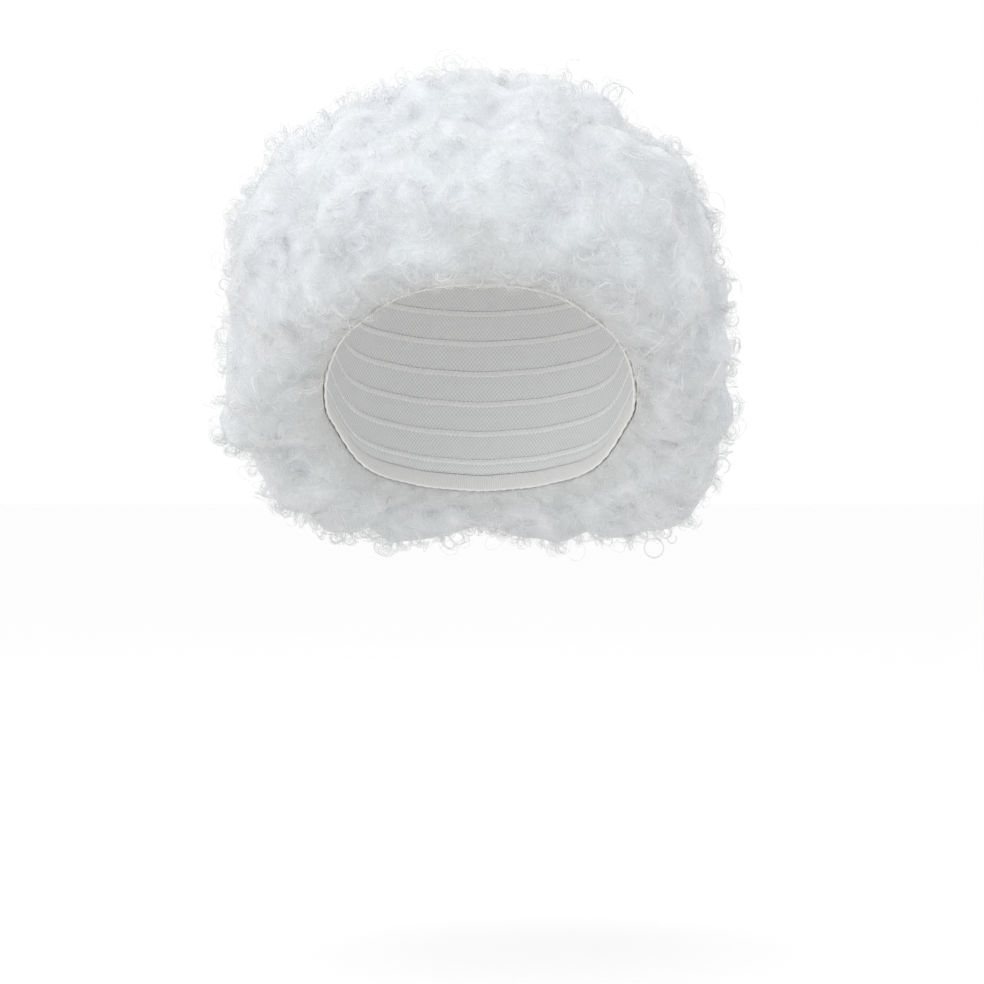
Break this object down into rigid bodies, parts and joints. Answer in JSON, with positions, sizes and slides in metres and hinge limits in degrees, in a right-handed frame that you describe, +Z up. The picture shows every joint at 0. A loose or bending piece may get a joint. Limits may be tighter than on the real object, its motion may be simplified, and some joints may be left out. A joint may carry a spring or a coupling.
{
  "type": "curly costume wig",
  "caption": "Full, round costume wig of tight white curls, sewn in rows to an open stretch cap with an elastic edge, worn over the head with the face left clear.",
  "frame": {"origin": "the top of the wearer's head, where the inside of the cap's crown rests on it", "axes": "+Z up, the face opening towards -Y, the wearer's left side at +X"},
  "size_m": [0.2636, 0.2793, 0.2418],
  "materials": {
    "cap_net": "fine stretch net, matt white",
    "edge_elastic": "knitted elastic, matt white",
    "curls": "crimped synthetic fibre, cool white with a soft sheen"
  },
  "bodies": {
    "root": {"wig_cap": "cap_net", "edge_band": "edge_elastic", "crown_weft": "curls", "weft_row_1": "curls", "weft_row_2": "curls", "weft_row_3": "curls", "edge_weft": "curls"}
  },
  "joints": []
}
